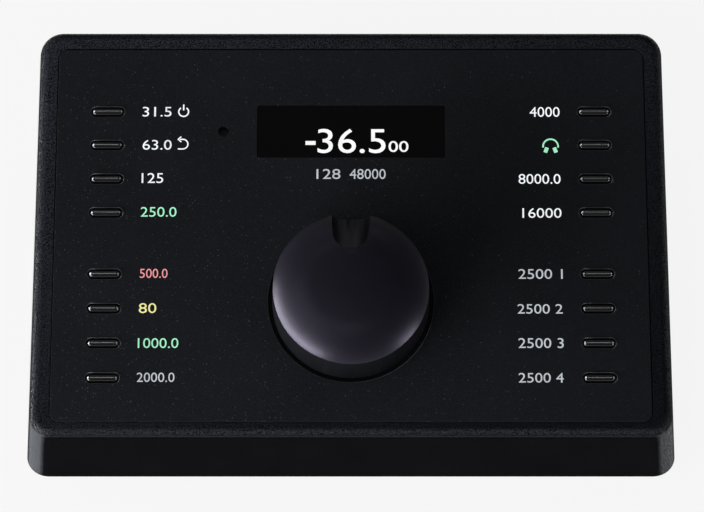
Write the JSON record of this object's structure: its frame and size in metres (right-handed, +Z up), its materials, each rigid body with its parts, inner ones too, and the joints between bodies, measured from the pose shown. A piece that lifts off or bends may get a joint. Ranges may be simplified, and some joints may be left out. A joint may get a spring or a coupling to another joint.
{
  "type": "studio monitor controller",
  "caption": "Desktop studio monitor controller: wedge-shaped console with display, key columns, a push-and-turn volume knob and sockets on the back.",
  "frame": {"origin": "middle of the footprint on the desk, under the rubber feet", "axes": "+X to the user's right, +Y to the back where the sockets are, +Z up"},
  "size_m": [0.2022, 0.1268, 0.0594],
  "materials": {
    "housing_paint": "charcoal textured powder coat on cast aluminium",
    "panel_paint": "fine matt black paint",
    "display_glass": "black tinted display window",
    "display_module": "display module frame",
    "black_plastic": "moulded black plastic",
    "white_plastic": "moulded white plastic",
    "silicone": "translucent grey silicone",
    "circuit_board": "green solder resist",
    "steel": "zinc plated steel",
    "brass": "turned brass",
    "knob_aluminium": "turned aluminium, dark anodised, satin",
    "base_paint": "black painted steel sheet",
    "rubber": "black rubber",
    "ribbon": "grey flat cable",
    "rear_paint": "black painted sheet",
    "nickel": "nickel plated",
    "key_plastic": "satin black moulded key caps"
  },
  "bodies": {
    "root": {"top_housing": "housing_paint", "control_panel": "panel_paint", "display_window": "display_glass", "display_module": "display_module", "room_microphone": "black_plastic", "light_baffle": "white_plastic", "key_mat": "silicone", "panel_board": "circuit_board", "panel_screws": "steel", "encoder_body": "steel", "encoder_washer": "steel", "encoder_nut": "steel", "base_plate": "base_paint", "base_screws": "steel", "rubber_feet": "rubber", "main_board": "circuit_board", "board_standoffs": "brass", "main_board_screws": "steel", "board_ribbon": "ribbon", "rear_panel": "rear_paint", "rear_panel_screws": "steel", "combo_socket_left": "black_plastic", "combo_socket_right": "black_plastic", "socket_screws": "steel", "output_jack_1": "black_plastic", "output_jack_2": "black_plastic", "output_jack_3": "black_plastic", "output_jack_4": "black_plastic", "headphone_jack": "black_plastic", "jack_nuts": "nickel", "network_socket": "nickel", "usb_socket": "nickel", "dc_socket": "black_plastic"},
    "push": {"encoder_plunger": "black_plastic"},
    "knob": {"volume_knob": "knob_aluminium", "knob_hub": "brass", "encoder_shaft": "steel"},
    "key_01": {"key_01": "key_plastic"},
    "key_02": {"key_02": "key_plastic"},
    "key_03": {"key_03": "key_plastic"},
    "key_04": {"key_04": "key_plastic"},
    "key_05": {"key_05": "key_plastic"},
    "key_06": {"key_06": "key_plastic"},
    "key_07": {"key_07": "key_plastic"},
    "key_08": {"key_08": "key_plastic"},
    "key_09": {"key_09": "key_plastic"},
    "key_10": {"key_10": "key_plastic"},
    "key_11": {"key_11": "key_plastic"},
    "key_12": {"key_12": "key_plastic"},
    "key_13": {"key_13": "key_plastic"},
    "key_14": {"key_14": "key_plastic"},
    "key_15": {"key_15": "key_plastic"},
    "key_16": {"key_16": "key_plastic"}
  },
  "joints": [
    {"name": "knob_push", "type": "slide", "parent": "root", "child": "push", "axis": [0, 0.2588, -0.9659], "range_m": [0, 0.0005], "stiffness_N_per_m": 3000, "springref_m": -0.0006},
    {"name": "knob_turn", "type": "hinge", "parent": "push", "child": "knob", "pos_m": [0, -0.02136, 0.03566], "axis": [0, -0.2588, 0.9659], "continuous": true},
    {"name": "key_01_press", "type": "slide", "parent": "root", "child": "key_01", "axis": [0, 0.2588, -0.9659], "range_m": [0, 0.0006], "stiffness_N_per_m": 1000, "springref_m": -0.0004, "deforming": ["key_mat"]},
    {"name": "key_02_press", "type": "slide", "parent": "root", "child": "key_02", "axis": [0, 0.2588, -0.9659], "range_m": [0, 0.0006], "stiffness_N_per_m": 1000, "springref_m": -0.0004, "deforming": ["key_mat"]},
    {"name": "key_03_press", "type": "slide", "parent": "root", "child": "key_03", "axis": [0, 0.2588, -0.9659], "range_m": [0, 0.0006], "stiffness_N_per_m": 1000, "springref_m": -0.0004, "deforming": ["key_mat"]},
    {"name": "key_04_press", "type": "slide", "parent": "root", "child": "key_04", "axis": [0, 0.2588, -0.9659], "range_m": [0, 0.0006], "stiffness_N_per_m": 1000, "springref_m": -0.0004, "deforming": ["key_mat"]},
    {"name": "key_05_press", "type": "slide", "parent": "root", "child": "key_05", "axis": [0, 0.2588, -0.9659], "range_m": [0, 0.0006], "stiffness_N_per_m": 1000, "springref_m": -0.0004, "deforming": ["key_mat"]},
    {"name": "key_06_press", "type": "slide", "parent": "root", "child": "key_06", "axis": [0, 0.2588, -0.9659], "range_m": [0, 0.0006], "stiffness_N_per_m": 1000, "springref_m": -0.0004, "deforming": ["key_mat"]},
    {"name": "key_07_press", "type": "slide", "parent": "root", "child": "key_07", "axis": [0, 0.2588, -0.9659], "range_m": [0, 0.0006], "stiffness_N_per_m": 1000, "springref_m": -0.0004, "deforming": ["key_mat"]},
    {"name": "key_08_press", "type": "slide", "parent": "root", "child": "key_08", "axis": [0, 0.2588, -0.9659], "range_m": [0, 0.0006], "stiffness_N_per_m": 1000, "springref_m": -0.0004, "deforming": ["key_mat"]},
    {"name": "key_09_press", "type": "slide", "parent": "root", "child": "key_09", "axis": [0, 0.2588, -0.9659], "range_m": [0, 0.0006], "stiffness_N_per_m": 1000, "springref_m": -0.0004, "deforming": ["key_mat"]},
    {"name": "key_10_press", "type": "slide", "parent": "root", "child": "key_10", "axis": [0, 0.2588, -0.9659], "range_m": [0, 0.0006], "stiffness_N_per_m": 1000, "springref_m": -0.0004, "deforming": ["key_mat"]},
    {"name": "key_11_press", "type": "slide", "parent": "root", "child": "key_11", "axis": [0, 0.2588, -0.9659], "range_m": [0, 0.0006], "stiffness_N_per_m": 1000, "springref_m": -0.0004, "deforming": ["key_mat"]},
    {"name": "key_12_press", "type": "slide", "parent": "root", "child": "key_12", "axis": [0, 0.2588, -0.9659], "range_m": [0, 0.0006], "stiffness_N_per_m": 1000, "springref_m": -0.0004, "deforming": ["key_mat"]},
    {"name": "key_13_press", "type": "slide", "parent": "root", "child": "key_13", "axis": [0, 0.2588, -0.9659], "range_m": [0, 0.0006], "stiffness_N_per_m": 1000, "springref_m": -0.0004, "deforming": ["key_mat"]},
    {"name": "key_14_press", "type": "slide", "parent": "root", "child": "key_14", "axis": [0, 0.2588, -0.9659], "range_m": [0, 0.0006], "stiffness_N_per_m": 1000, "springref_m": -0.0004, "deforming": ["key_mat"]},
    {"name": "key_15_press", "type": "slide", "parent": "root", "child": "key_15", "axis": [0, 0.2588, -0.9659], "range_m": [0, 0.0006], "stiffness_N_per_m": 1000, "springref_m": -0.0004, "deforming": ["key_mat"]},
    {"name": "key_16_press", "type": "slide", "parent": "root", "child": "key_16", "axis": [0, 0.2588, -0.9659], "range_m": [0, 0.0006], "stiffness_N_per_m": 1000, "springref_m": -0.0004, "deforming": ["key_mat"]}
  ]
}
